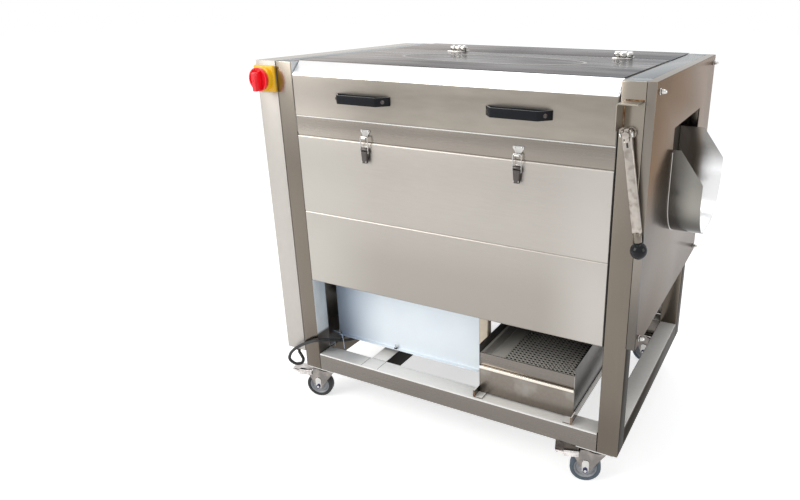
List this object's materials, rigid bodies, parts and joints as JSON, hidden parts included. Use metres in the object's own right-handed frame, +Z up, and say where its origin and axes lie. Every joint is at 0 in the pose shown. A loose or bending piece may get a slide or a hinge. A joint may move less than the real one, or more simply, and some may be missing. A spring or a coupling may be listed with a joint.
{
  "type": "roller vegetable washer",
  "caption": "Wheeled stainless brush-roller washer for root vegetables, with hinged lid, side discharge chute and gate lever.",
  "frame": {"origin": "floor under the middle of the machine", "axes": "+X towards the discharge chute, +Y from the front to the back, +Z up"},
  "size_m": [1.0643, 0.747, 0.97],
  "materials": {
    "brushed_stainless": "brushed",
    "matt_stainless": "fine satin",
    "polished_stainless": "polished",
    "cover_sheet": "fine satin",
    "splash_sheet": "satin",
    "machined_steel": "oiled",
    "motor_paint": "semi-gloss",
    "nylon_bristle": "bristle",
    "black_plastic": "satin",
    "black_rubber": "matte",
    "grey_rubber": "matte",
    "yellow_plastic": "satin",
    "red_plastic": "gloss"
  },
  "bodies": {
    "frame": {"left_end_frame": "brushed_stainless", "right_end_frame": "brushed_stainless", "base_frame": "brushed_stainless", "latch_rail": "brushed_stainless", "rear_top_rail": "brushed_stainless", "left_bearing_plate": "matt_stainless", "right_bearing_plate": "matt_stainless", "lower_front_panel": "matt_stainless", "rear_panel": "matt_stainless", "rear_deck": "matt_stainless", "hinge_left": "polished_stainless", "hinge_right": "polished_stainless", "drive_cover": "cover_sheet", "end_cover": "matt_stainless", "discharge_chute": "matt_stainless", "splash_panel": "splash_sheet", "hopper": "matt_stainless", "spray_pipe": "polished_stainless", "gearmotor": "motor_paint", "roller_chain": "machined_steel", "drive_chain": "machined_steel", "isolator_base": "yellow_plastic", "motor_gland": "black_plastic", "cover_gland": "black_plastic", "supply_gland": "black_plastic", "motor_cable": "black_rubber"},
    "upper_panel": {"upper_front_panel": "matt_stainless"},
    "lid": {"lid": "matt_stainless", "lid_handle_left": "black_plastic", "lid_handle_right": "black_plastic"},
    "gate": {"gate_flap": "matt_stainless", "gate_lever": "brushed_stainless", "lever_ball": "black_plastic"},
    "isolator_knob": {"isolator_knob": "red_plastic"},
    "residue_box": {"residue_box": "matt_stainless"},
    "sieve_tray": {"sieve_tray": "matt_stainless"},
    "motor_sprocket": {"motor_sprocket": "machined_steel"},
    "brush_roller_1": {"brush_roller_1": "nylon_bristle"},
    "brush_roller_2": {"brush_roller_2": "nylon_bristle"},
    "brush_roller_3": {"brush_roller_3": "nylon_bristle"},
    "brush_roller_4": {"brush_roller_4": "nylon_bristle"},
    "brush_roller_5": {"brush_roller_5": "nylon_bristle"},
    "brush_roller_6": {"brush_roller_6": "nylon_bristle"},
    "brush_roller_7": {"brush_roller_7": "nylon_bristle"},
    "brush_roller_8": {"brush_roller_8": "nylon_bristle"},
    "brush_roller_9": {"brush_roller_9": "nylon_bristle"},
    "latch_lever_left": {"latch_lever_left": "polished_stainless"},
    "latch_bail_left": {"latch_bail_left": "polished_stainless"},
    "latch_lever_right": {"latch_lever_right": "polished_stainless"},
    "latch_bail_right": {"latch_bail_right": "polished_stainless"},
    "caster_fork_front_left": {"caster_fork_front_left": "polished_stainless"},
    "caster_wheel_front_left": {"caster_wheel_front_left": "black_rubber"},
    "brake_pedal_front_left": {"brake_pedal_front_left": "polished_stainless"},
    "caster_fork_front_right": {"caster_fork_front_right": "polished_stainless"},
    "caster_wheel_front_right": {"caster_wheel_front_right": "grey_rubber"},
    "brake_pedal_front_right": {"brake_pedal_front_right": "polished_stainless"},
    "caster_fork_rear_left": {"caster_fork_rear_left": "polished_stainless"},
    "caster_wheel_rear_left": {"caster_wheel_rear_left": "black_rubber"},
    "caster_fork_rear_right": {"caster_fork_rear_right": "polished_stainless"},
    "caster_wheel_rear_right": {"caster_wheel_rear_right": "grey_rubber"}
  },
  "joints": [
    {"name": "lid_hinge", "type": "hinge", "parent": "frame", "child": "lid", "pos_m": [-0.01385, 0.1215, 0.962], "axis": [-1, 0, 0], "range_deg": [0, 80]},
    {"name": "upper_panel_slide", "type": "slide", "parent": "frame", "child": "upper_panel", "axis": [0, -1, 0], "range_m": [0, 0.12]},
    {"name": "gate_rock", "type": "hinge", "parent": "frame", "child": "gate", "pos_m": [0.41615, -0.3235, 0.8549], "axis": [0, -1, 0], "range_deg": [0, 55]},
    {"name": "isolator_turn", "type": "hinge", "parent": "frame", "child": "isolator_knob", "pos_m": [-0.50015, -0.3435, 0.908], "axis": [0, 1, 0], "range_deg": [0, 90]},
    {"name": "residue_box_slide", "type": "slide", "parent": "frame", "child": "residue_box", "axis": [0, -1, 0], "range_m": [0, 0.45]},
    {"name": "sieve_tray_slide", "type": "slide", "parent": "residue_box", "child": "sieve_tray", "axis": [0, -1, 0], "range_m": [0, 0.4]},
    {"name": "brush_roller_1_spin", "type": "hinge", "parent": "frame", "child": "brush_roller_1", "pos_m": [-0.01385, -0.1705, 0.8249], "axis": [1, 0, 0], "continuous": true},
    {"name": "brush_roller_2_spin", "type": "hinge", "parent": "frame", "child": "brush_roller_2", "pos_m": [-0.01385, -0.1705, 0.72291], "axis": [1, 0, 0], "continuous": true},
    {"name": "brush_roller_3_spin", "type": "hinge", "parent": "frame", "child": "brush_roller_3", "pos_m": [-0.01385, -0.14371, 0.62291], "axis": [1, 0, 0], "continuous": true},
    {"name": "brush_roller_4_spin", "type": "hinge", "parent": "frame", "child": "brush_roller_4", "pos_m": [-0.01385, -0.07051, 0.54971], "axis": [1, 0, 0], "continuous": true},
    {"name": "brush_roller_5_spin", "type": "hinge", "parent": "frame", "child": "brush_roller_5", "pos_m": [-0.01385, 0.02949, 0.52292], "axis": [1, 0, 0], "continuous": true},
    {"name": "brush_roller_6_spin", "type": "hinge", "parent": "frame", "child": "brush_roller_6", "pos_m": [-0.01385, 0.12948, 0.54971], "axis": [1, 0, 0], "continuous": true},
    {"name": "brush_roller_7_spin", "type": "hinge", "parent": "frame", "child": "brush_roller_7", "pos_m": [-0.01385, 0.20268, 0.62291], "axis": [1, 0, 0], "continuous": true},
    {"name": "brush_roller_8_spin", "type": "hinge", "parent": "frame", "child": "brush_roller_8", "pos_m": [-0.01385, 0.22948, 0.72291], "axis": [1, 0, 0], "continuous": true},
    {"name": "brush_roller_9_spin", "type": "hinge", "parent": "frame", "child": "brush_roller_9", "pos_m": [-0.01385, 0.22948, 0.8249], "axis": [1, 0, 0], "continuous": true},
    {"name": "motor_sprocket_spin", "type": "hinge", "parent": "frame", "child": "motor_sprocket", "pos_m": [-0.44885, -0.0885, 0.25], "axis": [1, 0, 0], "continuous": true},
    {"name": "latch_lever_left_turn", "type": "hinge", "parent": "upper_panel", "child": "latch_lever_left", "pos_m": [-0.21068, -0.3315, 0.76], "axis": [-1, 0, 0], "range_deg": [0, 150]},
    {"name": "latch_bail_left_turn", "type": "hinge", "parent": "latch_lever_left", "child": "latch_bail_left", "pos_m": [-0.21068, -0.3315, 0.751], "axis": [1, 0, 0], "range_deg": [0, 170]},
    {"name": "latch_lever_right_turn", "type": "hinge", "parent": "upper_panel", "child": "latch_lever_right", "pos_m": [0.18217, -0.3315, 0.76], "axis": [-1, 0, 0], "range_deg": [0, 150]},
    {"name": "latch_bail_right_turn", "type": "hinge", "parent": "latch_lever_right", "child": "latch_bail_right", "pos_m": [0.18217, -0.3315, 0.751], "axis": [1, 0, 0], "range_deg": [0, 170]},
    {"name": "caster_front_left_swivel", "type": "hinge", "parent": "frame", "child": "caster_fork_front_left", "pos_m": [-0.42185, -0.2885, 0.09], "axis": [0, 0, 1], "continuous": true},
    {"name": "caster_front_left_roll", "type": "hinge", "parent": "caster_fork_front_left", "child": "caster_wheel_front_left", "pos_m": [-0.44753, -0.29684, 0.0375], "axis": [-0.309, 0.9511, 0], "continuous": true},
    {"name": "brake_pedal_front_left_press", "type": "hinge", "parent": "caster_fork_front_left", "child": "brake_pedal_front_left", "pos_m": [-0.47511, -0.3058, 0.078], "axis": [0.309, -0.9511, 0], "range_deg": [0, 12]},
    {"name": "caster_front_right_swivel", "type": "hinge", "parent": "frame", "child": "caster_fork_front_right", "pos_m": [0.38515, -0.2885, 0.09], "axis": [0, 0, 1], "continuous": true},
    {"name": "caster_front_right_roll", "type": "hinge", "parent": "caster_fork_front_right", "child": "caster_wheel_front_right", "pos_m": [0.35947, -0.29684, 0.0375], "axis": [-0.309, 0.9511, 0], "continuous": true},
    {"name": "brake_pedal_front_right_press", "type": "hinge", "parent": "caster_fork_front_right", "child": "brake_pedal_front_right", "pos_m": [0.33189, -0.3058, 0.078], "axis": [0.309, -0.9511, 0], "range_deg": [0, 12]},
    {"name": "caster_rear_left_swivel", "type": "hinge", "parent": "frame", "child": "caster_fork_rear_left", "pos_m": [-0.42185, 0.3185, 0.09], "axis": [0, 0, 1], "continuous": true},
    {"name": "caster_rear_left_roll", "type": "hinge", "parent": "caster_fork_rear_left", "child": "caster_wheel_rear_left", "pos_m": [-0.44885, 0.3185, 0.0375], "axis": [0, 1, 0], "continuous": true},
    {"name": "caster_rear_right_swivel", "type": "hinge", "parent": "frame", "child": "caster_fork_rear_right", "pos_m": [0.37615, 0.3185, 0.09], "axis": [0, 0, 1], "continuous": true},
    {"name": "caster_rear_right_roll", "type": "hinge", "parent": "caster_fork_rear_right", "child": "caster_wheel_rear_right", "pos_m": [0.34915, 0.3185, 0.0375], "axis": [0, 1, 0], "continuous": true}
  ],
  "couplings": [
    {"joint": "brush_roller_1_spin", "follows": "brush_roller_5_spin", "ratio": 1},
    {"joint": "brush_roller_2_spin", "follows": "brush_roller_5_spin", "ratio": 1},
    {"joint": "brush_roller_3_spin", "follows": "brush_roller_5_spin", "ratio": 1},
    {"joint": "brush_roller_4_spin", "follows": "brush_roller_5_spin", "ratio": 1},
    {"joint": "brush_roller_6_spin", "follows": "brush_roller_5_spin", "ratio": 1},
    {"joint": "brush_roller_7_spin", "follows": "brush_roller_5_spin", "ratio": 1},
    {"joint": "brush_roller_8_spin", "follows": "brush_roller_5_spin", "ratio": 1},
    {"joint": "brush_roller_9_spin", "follows": "brush_roller_5_spin", "ratio": 1},
    {"joint": "motor_sprocket_spin", "follows": "brush_roller_5_spin", "ratio": 1},
    {"joint": "latch_bail_left_turn", "follows": "latch_lever_left_turn", "ratio": 1.1333},
    {"joint": "latch_bail_right_turn", "follows": "latch_lever_right_turn", "ratio": 1.1333}
  ]
}
